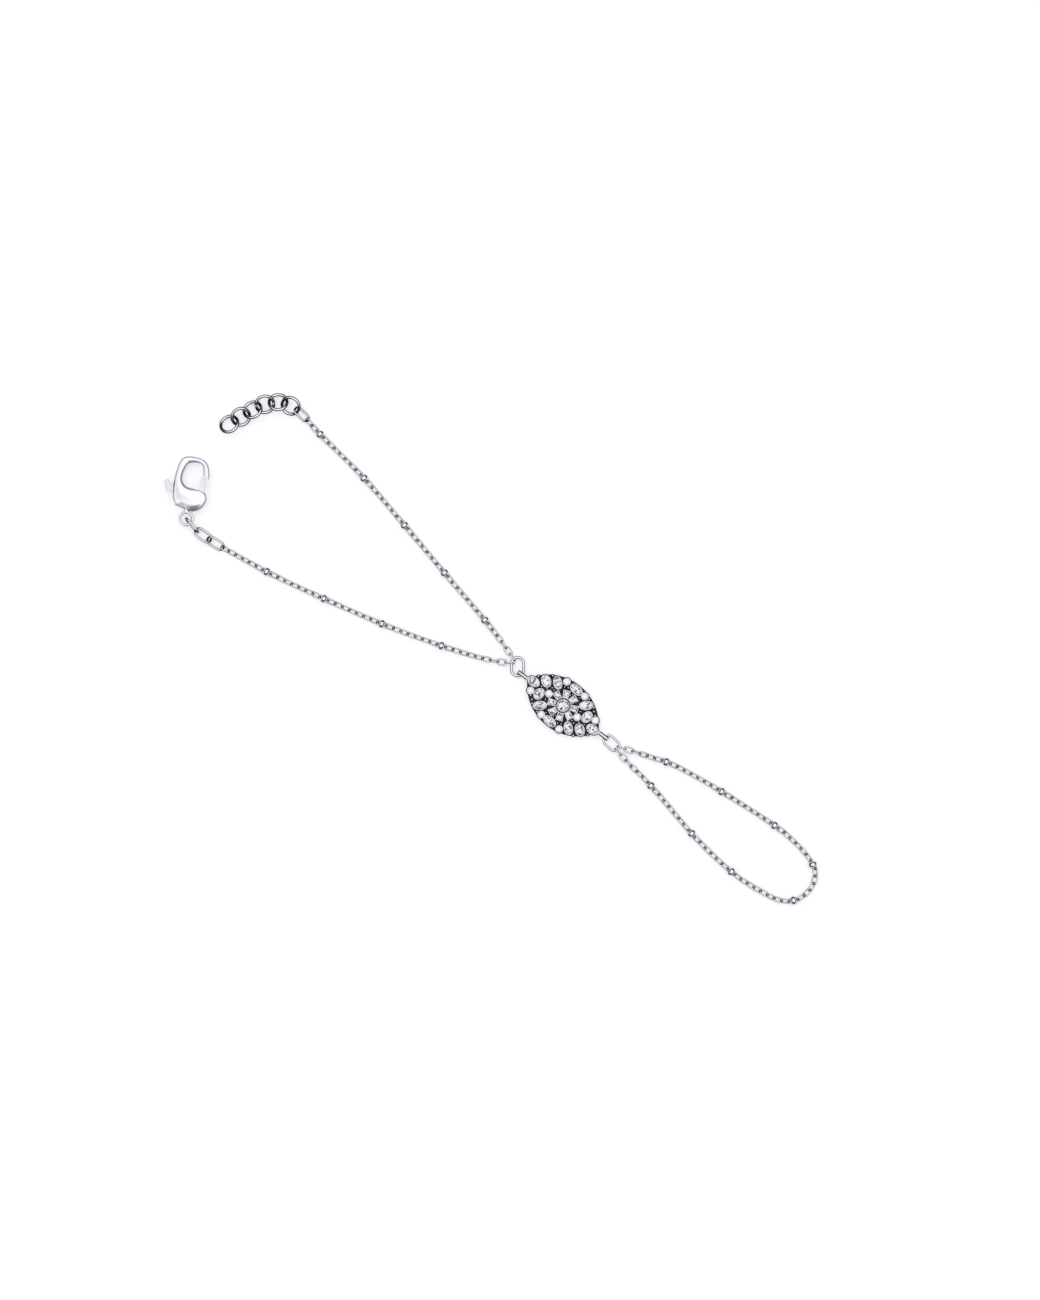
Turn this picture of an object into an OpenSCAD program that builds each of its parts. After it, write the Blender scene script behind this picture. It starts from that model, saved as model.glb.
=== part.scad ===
// Hand chain bracelet, laid out flat.
// A stone-set marquise pendant sits on the back of the hand. Two bead chains run from it round the wrist to
// a lobster clasp and an extender of round rings, and a closed bead chain runs from it round a finger.
// The origin is the middle of the pendant's back, +X runs along the pendant towards the finger, +Z is up.

/* [Pendant] */
// Length of the pendant between its two tips
pendant_length = 22.2; // [18:0.1:28]
// Thickness of the back plate
plate_thickness = 0.9; // [0.7:0.05:1.4]
// Height of the stone cups above the plate
cup_height = 0.75; // [0.5:0.05:1.2]
// Extra height of the middle cup above the others
centre_rise = 0.45; // [0:0.05:0.8]
// Metal between a stone and the outside of its cup
cup_wall = 0.15; // [0.1:0.01:0.25]
// Metal left under each stone
back_skin = 0.25; // [0.15:0.05:0.3]
// Diameter of the small metal grains between the cups
grain_d = 0.5; // [0.3:0.05:0.6]
// How far each bail stands out from the tip
bail_reach = 3.1; // [2.8:0.1:4]
// Width of the bail's band
bail_width = 1.0; // [0.8:0.05:1.05]
// Height of the bail
bail_height = 2.2; // [2:0.1:2.8]
// Thickness of the bail's band
bail_wall = 0.4; // [0.3:0.05:0.5]

/* [Stones] */
// Width of a stone's table as a share of the stone
table_share = 0.56; // [0.45:0.01:0.65]
// Height of the crown as a share of the stone's width
crown_share = 0.16; // [0.1:0.01:0.2]
// Depth of the pavilion as a share of the stone's width
pavilion_share = 0.4; // [0.3:0.01:0.42]
// Thickness of the girdle
girdle_thickness = 0.1; // [0.06:0.01:0.16]
// Depth of the girdle below the top of its cup
girdle_set = 0.14; // [0.08:0.01:0.2]
// Gap between a stone and its cup
stone_gap = 0.03; // [0.02:0.01:0.05]

/* [Chains] */
// Length of a plain chain link
link_length = 2.84; // [2.6:0.02:3.4]
// Width of a chain link
link_width = 1.75; // [1.6:0.05:2.1]
// Wire of a chain link
link_wire = 0.38; // [0.3:0.01:0.42]
// Diameter of a bead
bead_d = 2.0; // [1.9:0.05:2.6]
// Length of a bead along the chain
bead_length = 1.05; // [0.8:0.05:1.6]
// Gap kept between wires that pass through each other
play = 0.15; // [0.13:0.01:0.2]

/* [Jump rings] */
// Length of the oval jump ring at the wrist end
wrist_ring_length = 5.3; // [5:0.1:6.5]
// Width of the oval jump ring at the wrist end
wrist_ring_width = 3.75; // [3.7:0.05:4.2]
// Wire of the jump ring at the wrist end
wrist_ring_wire = 0.7; // [0.5:0.05:0.72]
// Length of the oval jump ring at the finger end
finger_ring_length = 5.0; // [4.6:0.1:6.4]
// Width of the oval jump ring at the finger end
finger_ring_width = 3.15; // [3.1:0.05:3.6]
// Wire of the jump ring at the finger end
finger_ring_wire = 0.55; // [0.4:0.05:0.6]

/* [Extender] */
// Number of round rings
extender_rings = 6; // [4:1:6]
// Outside diameter of a round ring
extender_ring_d = 5.3; // [5:0.1:6]
// Wire of a round ring
extender_ring_wire = 0.8; // [0.6:0.05:0.9]
// Slack between neighbouring round rings
extender_slack = 0.3; // [0.2:0.05:0.5]
// Length of the oval link between the rings and the chain
extender_link_length = 4.9; // [4.7:0.1:6]
// Width of that oval link
extender_link_width = 2.8; // [2.6:0.05:3.4]
// Wire of that oval link
extender_link_wire = 0.55; // [0.45:0.05:0.6]

/* [Clasp] */
// Length of the clasp from its eye to the top of its hook
clasp_length = 17.4; // [16:0.1:20]
// Thickness of the clasp's body
clasp_thickness = 3.3; // [3:0.1:4]
// Outside diameter of the eye
eye_d = 3.8; // [3.6:0.05:4.4]
// Hole of the eye
eye_hole_d = 2.6; // [2.1:0.05:2.7]
// Thickness of the eye
eye_thickness = 1.1; // [0.9:0.05:1.4]
// Thickness of the lever
lever_thickness = 1.1; // [0.8:0.05:1.3]
// Gap between the lever and the walls of its slot
lever_gap = 0.12; // [0.08:0.01:0.2]
// How far the lever turns when the clasp opens
lever_turn = 22; // [15:1:24]
// Diameter of the rivet that the lever turns on
pin_d = 0.9; // [0.7:0.05:1.1]
// Gap between the rivet and the lever's bore
pin_gap = 0.05; // [0.03:0.01:0.08]
// Length of an oval link beside the clasp
clasp_link_length = 5.2; // [5:0.1:6.2]
// Width of an oval link beside the clasp
clasp_link_width = 3.2; // [3:0.05:3.8]
// Wire of an oval link beside the clasp
clasp_link_wire = 0.6; // [0.45:0.05:0.65]

/* [Hidden] */
$fn = 32;
SILVER = [0.80, 0.81, 0.85];
DARK_SILVER = [0.30, 0.30, 0.36];
CRYSTAL = [0.90, 0.91, 0.97];

// Cups on one half of the pendant, in hundredths of its length; the other half is the same turned half round.
// Oval cups: [x, y, turn, length, width]
OVAL_CUPS = [
    [-42.5, 1.6, 0, 14.9, 10.8],
    [-31.6, 10.5, -33, 14.9, 11.0],
    [-20.1, 16.8, -43, 15.5, 10.2],
    [1.3, 23.2, -5, 16.7, 10.2],
    [20.8, 15.6, 41, 16.2, 10.4],
    [29.4, 5.8, 86, 14.4, 11.0],
];
// Round cups: [x, y, diameter]
ROUND_CUPS = [
    [-12.5, 23.9, 8.6],
    [13.4, 22.9, 8.6],
    [39.2, 8.5, 8.6],
    [-20.6, 1.0, 8.6],
];
// Diameter of the middle cup
CENTRE_CUP = 14.4;
// The ring of tapered cups: inner radius, outer radius, inner width, outer width, count and turn of the first
BAGUETTE_IN = 7.7;
BAGUETTE_OUT = 17.5;
BAGUETTE_W_IN = 5.9;
BAGUETTE_W_OUT = 8.3;
BAGUETTES = 8;
BAGUETTE_TURN = 21;
// Grains: [x, y]
GRAINS = [
    [-21.6, 8.6], [-11.0, 18.0], [-7.0, 19.6], [-19.8, -6.1], [-35.9, -12.4], [-31.8, -15.3],
    [-41.9, 9.5], [-29.3, 19.8], [-10.1, -18.0], [-18.1, 7.6], [-32.0, 2.9], [-25.6, 4.2],
    [-0.2, 14.0], [1.4, 16.6], [19.2, 23.0], [29.0, 18.9],
];
// Width of the plain marquise under the cups, and the ledge of plate that shows round each cup
MARQUISE_WIDTH = 58.5;
LEDGE = 1.0;
// Share of a stone at which its seat holds the pavilion, and the share by which the seat clears it there
SEAT_SHARE = 0.72;
SEAT_EASE = 0.03;
// Places of a cut stone's facet corners, as shares of its half width: crown break, crown height there,
// pavilion break and pavilion depth there
CROWN_BREAK = 0.79;
CROWN_BREAK_HEIGHT = 0.55;
PAVILION_BREAK = 0.35;
PAVILION_BREAK_DEPTH = 0.7;

// Chosen points of the chains' routes, lying flat: [x, y]. The wrist chains run towards the pendant, and the
// finger chain starts and ends at its jump ring.
UPPER_ROUTE = [[-94.0, 18.6], [-89.5, 17.6], [-74.3, 15.5], [-58.2, 12.0], [-42.6, 8.4], [-26.9, 4.9]];
LOWER_ROUTE = [[-91.8, -19.7], [-77.7, -17.6], [-61.8, -14.2], [-46.4, -10.4], [-31.2, -5.7], [-22.0, -2.2]];
FINGER_ROUTE = [
    [20.6, 1.3], [25.6, 3.0], [30.3, 4.6], [38.0, 5.9], [46.2, 6.8], [54.6, 7.5], [62.5, 7.9], [69.2, 7.2],
    [73.4, 6.0], [75.7, 4.4], [76.9, 1.6], [76.8, -1.2], [75.6, -4.0], [72.6, -6.3], [67.6, -7.3],
    [61.0, -7.9], [54.0, -7.5], [45.9, -6.4], [40.4, -5.2], [32.9, -3.5], [27.4, -2.4], [23.2, -1.9],
];
EXTENDER_ROUTE = [
    [-94.0, 18.6], [-99.7, 19.0], [-102.9, 17.4], [-105.2, 14.6], [-106.7, 11.4], [-109.0, 5.4],
    [-110.2, 2.0],
];
// Links with a bead, counted from the start of each chain
UPPER_BEADS = [2, 10, 18, 26, 34];
LOWER_BEADS = [6, 14, 22, 30];
FINGER_BEADS = [6, 14, 22, 29, 35, 44, 51, 59];

// Turn of each oval link beside the clasp, seen from above, from the chain to the clasp, and its roll
CLASP_LINK_TURNS = [186, 182, 168];
CLASP_LINK_ROLLS = [-40, 34, 100];
// Slack between neighbouring oval links there
CLASP_LINK_SLACK = 0.3;
// Turns of the jump rings seen from above, and the places on them where the bails and the chains pass, as
// turns from the ring's own length
WRIST_TURN = 127;
WRIST_BAIL_AT = 222;
WRIST_UPPER_AT = 40;
WRIST_LOWER_AT = 90;
FINGER_TURN = -6;
FINGER_BAIL_AT = 180;
FINGER_CHAIN_AT = 26;
// Roll of the extender's oval link, and the gap between the wires of round rings where they cross
EXTENDER_LINK_ROLL = 38;
EXTENDER_CLEAR = 0.65;
// Slant of the chains' links to either side in turn, how far single links stray from it, and the number of
// links over which the slant turns to that of what the chain hangs on
SLANT = 45;
STRAY = 5;
TURN_LINKS = 4;
// Share of a link that a chain makes up by wider steps before it takes one link more
SPREAD = 0.1;
// Turn of the clasp seen from above
CLASP_TURN = 33.7;
// Sections of the clasp's body from the hook's tip to the end of the body, in hundredths of the clasp's
// length from the eye: [outer x, outer y, inner x, inner y, thickness as a share of the body's]
CLAW = [
    [28.9, 58.0, 21.4, 62.2, 0.36],
    [29.5, 61.5, 21.2, 64.4, 0.46],
    [29.7, 66.2, 20.9, 68.4, 0.52],
    [29.0, 72.4, 20.5, 74.0, 0.55],
    [27.0, 78.7, 19.2, 77.4, 0.57],
    [23.0, 83.8, 17.0, 79.4, 0.58],
    [17.0, 87.0, 13.2, 80.5, 0.58],
    [10.6, 88.7, 8.4, 80.8, 0.59],
    [2.6, 89.6, 3.4, 80.3, 0.61],
    [-4.4, 89.3, -0.4, 79.0, 0.65],
    [-10.2, 86.2, -3.0, 76.4, 0.71],
    [-14.0, 80.4, -4.7, 73.0, 0.77],
    [-16.6, 73.0, -6.2, 69.2, 0.83],
    [-18.8, 64.4, -8.0, 63.2, 0.89],
    [-20.3, 55.2, -8.6, 56.0, 0.94],
    [-21.3, 46.0, -6.4, 50.6, 0.98],
    [-21.8, 35.6, -1.9, 46.2, 1.00],
    [-21.0, 26.0, 3.4, 44.4, 1.00],
    [-16.8, 18.6, 8.6, 43.8, 1.00],
    [-8.6, 15.8, 13.2, 43.4, 1.00],
    [1.7, 11.4, 17.4, 42.8, 0.98],
    [11.5, 11.0, 21.0, 41.6, 0.94],
    [19.5, 14.6, 23.9, 39.8, 0.86],
    [24.9, 20.6, 25.8, 37.4, 0.74],
    [27.3, 26.6, 27.0, 34.6, 0.54],
    [28.0, 29.4, 27.7, 32.2, 0.26],
];
CLAW_SIDES = 20;
// Sections made from each given one by a smooth curve through them
CLAW_STEPS = 2;
// The lever in the same units: its pivot, hub radius, half width of its arms at the hub, the two corners of
// the gate's tip, and the outline of the thumb tab, which stands outside the body
PIVOT = [17.8, 25.9];
HUB = 6.0;
ARM = 4.3;
GATE_TIP = [[25.3, 57.8], [19.8, 59.9]];
TAB = [[-22.6, 45.4], [-28.2, 54.4], [-31.6, 54.9], [-34.2, 51.4], [-29.2, 39.4]];

// Gap between the rivet and its bore in the body
PIN_FIT = 0.02;
// Depth of the bail's root in the plate, and length of its foot on the plate
bail_root = 0.35;
bail_foot = 0.8;
// Depth of the extra wall cut beyond a face so that no skin is left
PAST = 1;
// Height above the surface at which the lowest wires lie
FLOOR_GAP = 0.01;

pendant_unit = pendant_length / 100;
clasp_unit = clasp_length / 100;
cup_top = plate_thickness + cup_height;
centre_top = cup_top + centre_rise;
tip_x = pendant_length / 2;

// Distance along the chain that a plain link and a bead link take up
link_step = link_length - 2 * link_wire - play;
bead_link_length = bead_length + 4 * link_wire + 4 * play;
bead_step = bead_link_length - 2 * link_wire - play;
// Height of the middle of a link or ring that rests on the surface at a roll, and of a bead
function rest_z(w, wire, roll) = (w - wire) / 2 * abs(sin(roll)) + wire / 2 + FLOOR_GAP;
bead_z = bead_d / 2 + FLOOR_GAP;
// Depth of a stone below its cup's top, down to the ledge that holds it, for a stone's width
function ledge_depth(w) = girdle_set + girdle_thickness + stone_gap
    + (1 + SEAT_EASE - SEAT_SHARE) * PAVILION_BREAK_DEPTH / (1 - PAVILION_BREAK) * pavilion_share * w;

// The jump rings lie level, at the height where the upright end links and the bails carry them
ring_z = max(rest_z(link_width, link_wire, 90), bail_wall + play + wrist_ring_wire / 2);
bail_bend = bail_height / 2;
bail_far = tip_x + bail_reach - bail_bend;
// A jump ring passes its bail as far out as its wire clears the bail's round end across the whole band
function bail_cross(w, wire, slant) = let (bend = (w - wire) / 2)
    bail_far + sqrt(max(0, pow(bail_bend - bail_wall - wire / 2 - play, 2) - pow(bail_bend - ring_z, 2)))
    - bail_width / 2 * tan(slant) - bend + sqrt(bend * bend - bail_width * bail_width / 4);

// Heights and places of the joints from the lower chain to the clasp's eye
clasp_z = clasp_thickness / 2;
pivot = clasp_unit * PIVOT;
hub = clasp_unit * HUB;
arm = clasp_unit * ARM;
gate_tip = clasp_unit * GATE_TIP;
tab = clasp_unit * TAB;
// Heights of the rivet's ends from the clasp's middle plane
pin_top = 0.3 * clasp_thickness;
pin_bottom = -0.36 * clasp_thickness;
// Outline of a lever's arm from the hub round its given corners and back to the hub
function arm_outline(corners) = let (a = atan2(corners[0][1] - pivot[1], corners[0][0] - pivot[0]))
    concat([pivot + arm * heading(a - 90)], corners, [pivot + arm * heading(a + 90)]);
clasp_link_step = clasp_link_length - 2 * clasp_link_wire - CLASP_LINK_SLACK;
clasp_rests = concat(
    [for (roll = CLASP_LINK_ROLLS) rest_z(clasp_link_width, clasp_link_wire, roll)],
    [clasp_z]
);
function clasp_joint(k) = k == 0
    ? [LOWER_ROUTE[0][0], LOWER_ROUTE[0][1], clasp_rests[0]]
    : let (before = clasp_joint(k - 1), d = clasp_link_step * heading(CLASP_LINK_TURNS[k - 1]))
        [before[0] + d[0], before[1] + d[1], max(clasp_rests[k - 1], clasp_rests[k])];
clasp_end = clasp_joint(3);
eye_centre = [clasp_end[0], clasp_end[1]] + (clasp_link_wire + play) / 2 * heading(CLASP_LINK_TURNS[2]);

// The extender: its rings tilt to either side in turn, so far that their wires clear where they cross
extender_bend = (extender_ring_d - extender_ring_wire) / 2;
extender_ring_step = extender_ring_d - 2 * extender_ring_wire - extender_slack;
extender_link_step = extender_link_length - 2 * extender_link_wire - play;
extender_tilt = asin((extender_ring_wire + EXTENDER_CLEAR)
    / (2 * sqrt(extender_bend * extender_bend - extender_ring_step * extender_ring_step / 4)));
extender_z = rest_z(extender_ring_d, extender_ring_wire, extender_tilt);
extender_link_z = rest_z(extender_link_width, extender_link_wire, EXTENDER_LINK_ROLL);

oval_cups = both_halves(OVAL_CUPS);
round_cups = both_halves(ROUND_CUPS);
grain_spots = both_halves(GRAINS);

// A table of places and the same places turned half round about the middle
function half_turned(row) = concat([-row[0], -row[1]], [for (k = [2:1:len(row) - 1]) row[k]]);
function both_halves(rows) = concat(rows, [for (r = rows) half_turned(r)]);
// The direction of a turn, and a point turned about the origin
function heading(a) = [cos(a), sin(a)];
function turned(p, a) = [p[0] * cos(a) - p[1] * sin(a), p[0] * sin(a) + p[1] * cos(a)];
// Points of an ellipse and of a tapered stone's outline, grown by a margin
function ellipse(l, w, sides) = [for (i = [0:sides - 1]) let (a = 360 * i / sides)
    [l / 2 * cos(a), w / 2 * sin(a)]];
function taper(grow) = let (
        x0 = BAGUETTE_IN * pendant_unit - grow,
        x1 = BAGUETTE_OUT * pendant_unit + grow,
        w0 = BAGUETTE_W_IN * pendant_unit / 2 + grow,
        w1 = BAGUETTE_W_OUT * pendant_unit / 2 + grow
    ) [[x0, -w0], [x1, -w1], [x1, w1], [x0, w0]];

// Smooth curve through chosen points, as many short steps
function spline(a, b, c, d, t) = 0.5 * (2 * b + t * (c - a) + t * t * (2 * a - 5 * b + 4 * c - d)
    + t * t * t * (3 * b - a - 3 * c + d));
function curve(p, steps = 10) = let (last = len(p) - 1) concat(
    [for (i = [0:last - 1], k = [0:steps - 1]) spline(
        i == 0 ? 2 * p[0] - p[1] : p[i - 1], p[i], p[i + 1],
        i == last - 1 ? 2 * p[last] - p[last - 1] : p[i + 2], k / steps)],
    [p[last]]);
// Table of [length run, x] or [length run, y] along a curve
function run_table(c, axis) = [for (i = 0, s = 0; i < len(c);
    s = s + (i + 1 < len(c) ? norm(c[i + 1] - c[i]) : 0), i = i + 1) [s, c[i][axis]]];
function run_length(table) = table[len(table) - 1][0];

// Middle line of an oval ring or link at a turn t, from its centre
function oval_point(l, w, wire, t) = [(cos(t) < 0 ? -1 : 1) * (l - w) / 2, 0] + (w - wire) / 2 * heading(t);
// Where the last joint of a chain lies inside a ring, seen from the ring's centre
function joint_in_ring(l, w, wire, t) = oval_point(l, w, wire, t) - (wire + play) / 2 * heading(t);

wrist_slant = 360 - WRIST_TURN - WRIST_BAIL_AT;
wrist_bail_point = oval_point(wrist_ring_length, wrist_ring_width, wrist_ring_wire, WRIST_BAIL_AT);
wrist_centre = [-bail_cross(wrist_ring_width, wrist_ring_wire, wrist_slant), 0]
    - turned(wrist_bail_point, WRIST_TURN);
finger_slant = 180 - FINGER_TURN - FINGER_BAIL_AT;
finger_bail_point = oval_point(finger_ring_length, finger_ring_width, finger_ring_wire, FINGER_BAIL_AT);
finger_centre = [bail_cross(finger_ring_width, finger_ring_wire, finger_slant), 0]
    - turned(finger_bail_point, FINGER_TURN);
function wrist_joint(at) = wrist_centre
    + turned(joint_in_ring(wrist_ring_length, wrist_ring_width, wrist_ring_wire, at), WRIST_TURN);
function finger_joint(at) = finger_centre
    + turned(joint_in_ring(finger_ring_length, finger_ring_width, finger_ring_wire, at), FINGER_TURN);

// Whether link i of a chain has a bead
function has_bead(i, beads) = search(i, beads) != [];
// A roll less whole half turns, which bring an oval link back to itself
function least(roll) = roll - 180 * round(roll / 180);
// Roll of link i of a chain: slanted to either side in turn, and turned to the given rolls at its ends
function link_roll(i, count, roll_start, roll_end) = let (
        first = least(roll_start) < 0 ? -SLANT : SLANT,
        last = count % 2 == 0 ? -first : first
    ) (i % 2 == 0 ? first : -first) + STRAY * sin(137 * i)
        + least(roll_start - first) * max(0, 1 - i / TURN_LINKS)
        + least(roll_end - last) * max(0, 1 - (count - 1 - i) / TURN_LINKS);

// Solid through closed rings of points, each ring with as many points as the next
module loft(rings) {
    sides = len(rings[0]);
    last = len(rings) - 1;
    points = [for (r = rings, p = r) p];
    walls = [for (j = [0:last - 1], i = [0:sides - 1], half = [0, 1]) let (k = (i + 1) % sides)
        half == 0
            ? [j * sides + i, (j + 1) * sides + i, (j + 1) * sides + k]
            : [j * sides + i, (j + 1) * sides + k, j * sides + k]];
    ends = [[for (i = [0:sides - 1]) i], [for (i = [sides - 1:-1:0]) last * sides + i]];
    polyhedron(points, concat(walls, ends));
}

// Oval link or ring of round wire, lying level with its length along X
module oval_link(l, w, wire) {
    bend = (w - wire) / 2;
    half_straight = (l - w) / 2;
    for (end = [0, 180]) rotate([0, 0, end]) translate([half_straight, 0, 0])
        rotate([0, 0, -90]) rotate_extrude(angle = 180) translate([bend, 0]) circle(d = wire);
    for (side = [-1, 1]) translate([-half_straight, side * bend, 0])
        rotate([0, 90, 0]) cylinder(d = wire, h = 2 * half_straight);
}

// Round bead on a link's length, with its edges turned down
module bead() {
    edge = bead_length / 5;
    half = bead_length / 2;
    r = bead_d / 2;
    rotate([0, 90, 0]) rotate_extrude() polygon([
        [0, -half], [r - edge / 2, -half], [r, edge - half], [r, half - edge], [r - edge / 2, half], [0, half]
    ]);
}

// Turns its children's X axis from one point towards another, about their middle, rolled about that line
module between(from, to, roll) {
    d = to - from;
    translate((from + to) / 2) rotate([0, -asin(d[2] / norm(d)), atan2(d[1], d[0])]) rotate([roll, 0, 0])
        children();
}

// Chain of oval links on a route, some of them with a bead. Each joint between two links lies as high as the
// higher of the two needs it; the ends have a given height and roll.
module chain(route, beads, z_start, z_end, roll_start, roll_end) {
    c = curve(route);
    tx = run_table(c, 0);
    ty = run_table(c, 1);
    whole = run_length(tx);
    count = ceil((whole - len(beads) * (bead_step - link_step)) / link_step - SPREAD);
    steps = [for (i = [0:count - 1]) has_bead(i, beads) ? bead_step : link_step];
    total = steps * [for (s = steps) 1];
    runs = [for (i = 0, s = 0; i <= count; s = s + (i < count ? steps[i] : 0), i = i + 1) s * whole / total];
    rolls = [for (i = [0:count - 1]) link_roll(i, count, roll_start, roll_end)];
    rests = concat([z_start], [for (i = [0:count - 1])
        max(has_bead(i, beads) ? bead_z : 0, rest_z(link_width, link_wire, rolls[i]))], [z_end]);
    joints = [for (i = [0:count]) [lookup(runs[i], tx), lookup(runs[i], ty), max(rests[i], rests[i + 1])]];
    for (i = [0:count - 1]) between(joints[i], joints[i + 1], rolls[i]) {
        if (has_bead(i, beads)) {
            oval_link(bead_link_length, link_width, link_wire);
            bead();
        } else {
            oval_link(link_length, link_width, link_wire);
        }
    }
}

module at_pendant(row) {
    translate([row[0] * pendant_unit, row[1] * pendant_unit, 0]) children();
}

module at_baguette(i) {
    rotate([0, 0, BAGUETTE_TURN + 360 * (i - 1) / BAGUETTES]) children();
}

// Pocket for a stone of an oval cup: straight down to a ledge, and a narrower seat below it
module oval_pocket(l, w, top) {
    inner_l = l - 2 * cup_wall;
    inner_w = w - 2 * cup_wall;
    ledge = top - ledge_depth(inner_w);
    translate([0, 0, ledge]) linear_extrude(top - ledge + PAST) polygon(ellipse(inner_l, inner_w, 24));
    translate([0, 0, back_skin]) linear_extrude(top - back_skin)
        polygon(ellipse(inner_l * SEAT_SHARE, inner_w * SEAT_SHARE, 16));
}

module round_pocket(d, top) {
    inner_d = d - 2 * cup_wall;
    ledge = top - ledge_depth(inner_d);
    translate([0, 0, ledge]) cylinder(d = inner_d, h = top - ledge + PAST);
    translate([0, 0, back_skin]) cylinder(d = inner_d * SEAT_SHARE, h = top - back_skin);
}

module baguette_pocket() {
    inner_w = BAGUETTE_W_IN * pendant_unit - 2 * cup_wall;
    ledge = cup_top - ledge_depth(inner_w);
    translate([0, 0, ledge]) linear_extrude(cup_top - ledge + PAST) polygon(taper(-cup_wall));
    translate([0, 0, back_skin]) linear_extrude(cup_top - back_skin)
        polygon(taper(-cup_wall - (1 - SEAT_SHARE) * inner_w / 2));
}

// Standing loop of half-round band soldered to the pendant's tip, with its foot on the plate
module bail() {
    near = tip_x - bail_root + bail_bend;
    middle = bail_bend - bail_wall / 2;
    band = ellipse(bail_wall, bail_width, 16);
    for (end = [0, 1]) translate([end == 0 ? bail_far : near, 0, bail_bend]) rotate([90, 0, 180 * end])
        rotate([0, 0, -90]) rotate_extrude(angle = 180) translate([middle, 0]) polygon(band);
    for (side = [-1, 1]) translate([near, 0, bail_bend + side * middle]) rotate([0, 90, 0])
        linear_extrude(bail_far - near) polygon(band);
    translate([tip_x - bail_root, -bail_width / 2, 0]) cube([bail_foot, bail_width, plate_thickness]);
}

module marquise(width) {
    half = width / 2;
    r = (tip_x * tip_x + half * half) / (2 * half);
    intersection() {
        translate([0, half - r, 0]) cylinder(r = r, h = plate_thickness);
        translate([0, r - half, 0]) cylinder(r = r, h = plate_thickness);
    }
}

module pendant_setting() {
    u = pendant_unit;
    ledge = 2 * LEDGE * u;
    color(DARK_SILVER) difference() {
        union() {
            marquise(MARQUISE_WIDTH * u);
            for (c = oval_cups) at_pendant(c) rotate([0, 0, c[2]]) {
                linear_extrude(plate_thickness) polygon(ellipse(c[3] * u + ledge, c[4] * u + ledge, 24));
                linear_extrude(cup_top) polygon(ellipse(c[3] * u, c[4] * u, 24));
            }
            for (c = round_cups) at_pendant(c) {
                cylinder(d = c[2] * u + ledge, h = plate_thickness);
                cylinder(d = c[2] * u, h = cup_top);
            }
            for (i = [1:BAGUETTES]) at_baguette(i) linear_extrude(cup_top) polygon(taper(0));
            cylinder(d = CENTRE_CUP * u, h = centre_top);
            for (g = grain_spots) at_pendant(g) {
                cylinder(d = grain_d + ledge, h = plate_thickness);
                translate([0, 0, plate_thickness]) sphere(d = grain_d);
            }
            for (side = [0, 180]) rotate([0, 0, side]) bail();
        }
        for (c = oval_cups) at_pendant(c) rotate([0, 0, c[2]]) oval_pocket(c[3] * u, c[4] * u, cup_top);
        for (c = round_cups) at_pendant(c) round_pocket(c[2] * u, cup_top);
        for (i = [1:BAGUETTES]) at_baguette(i) baguette_pocket();
        round_pocket(CENTRE_CUP * u, centre_top);
    }
}

// Corners of a cut stone that lie on one level: every second or every corner of its outline, at a share of it
function facet_ring(l, w, share, count, start, z) = [for (i = [0:count - 1]) let (a = start + 360 * i / count)
    [share * l / 2 * cos(a), share * w / 2 * sin(a), z]];

// Round or oval brilliant with its girdle's top at height 0: table, star, kite and girdle facets above, and
// main and lower girdle facets below
module brilliant(l, w) {
    crown = crown_share * w;
    pavilion = pavilion_share * w;
    points = concat(
        facet_ring(l, w, table_share, 8, 22.5, crown),
        facet_ring(l, w, CROWN_BREAK, 8, 0, CROWN_BREAK_HEIGHT * crown),
        facet_ring(l, w, 1, 16, 0, 0),
        facet_ring(l, w, 1, 16, 0, -girdle_thickness),
        facet_ring(l, w, PAVILION_BREAK, 8, 22.5, -girdle_thickness - PAVILION_BREAK_DEPTH * pavilion),
        [[0, 0, -girdle_thickness - pavilion]]
    );
    t = function(k) k % 8;
    b = function(k) 8 + k % 8;
    g = function(k) 16 + (k + 16) % 16;
    h = function(k) 32 + k % 16;
    p = function(k) 48 + k % 8;
    culet = 56;
    eights = [0:7];
    faces = concat(
        [[for (k = [7:-1:0]) t(k)]],
        [for (k = eights) [t(k), b(k), t(k + 7)]],
        [for (k = eights) [t(k), b(k + 1), g(2 * k + 1)]],
        [for (k = eights) [t(k), g(2 * k + 1), b(k)]],
        [for (k = eights) [b(k), g(2 * k + 1), g(2 * k)]],
        [for (k = eights) [b(k), g(2 * k), g(2 * k - 1)]],
        [for (k = [0:15]) [g(k), g(k + 1), h(k + 1), h(k)]],
        [for (k = eights) [h(2 * k), h(2 * k + 1), p(k)]],
        [for (k = eights) [h(2 * k + 1), h(2 * k + 2), p(k)]],
        [for (k = eights) [culet, p(k), h(2 * k + 2)]],
        [for (k = eights) [culet, h(2 * k + 2), p(k + 1)]]
    );
    polyhedron(points, faces);
}

function stone_size(cup) = cup * pendant_unit - 2 * cup_wall - 2 * stone_gap;

module oval_stone(i) {
    cup = oval_cups[i - 1];
    color(CRYSTAL) at_pendant(cup) translate([0, 0, cup_top - girdle_set]) rotate([0, 0, cup[2]])
        brilliant(stone_size(cup[3]), stone_size(cup[4]));
}

module round_stone(i) {
    cup = round_cups[i - 1];
    color(CRYSTAL) at_pendant(cup) translate([0, 0, cup_top - girdle_set])
        brilliant(stone_size(cup[2]), stone_size(cup[2]));
}

module centre_stone() {
    color(CRYSTAL) translate([0, 0, centre_top - girdle_set])
        brilliant(stone_size(CENTRE_CUP), stone_size(CENTRE_CUP));
}

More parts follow.
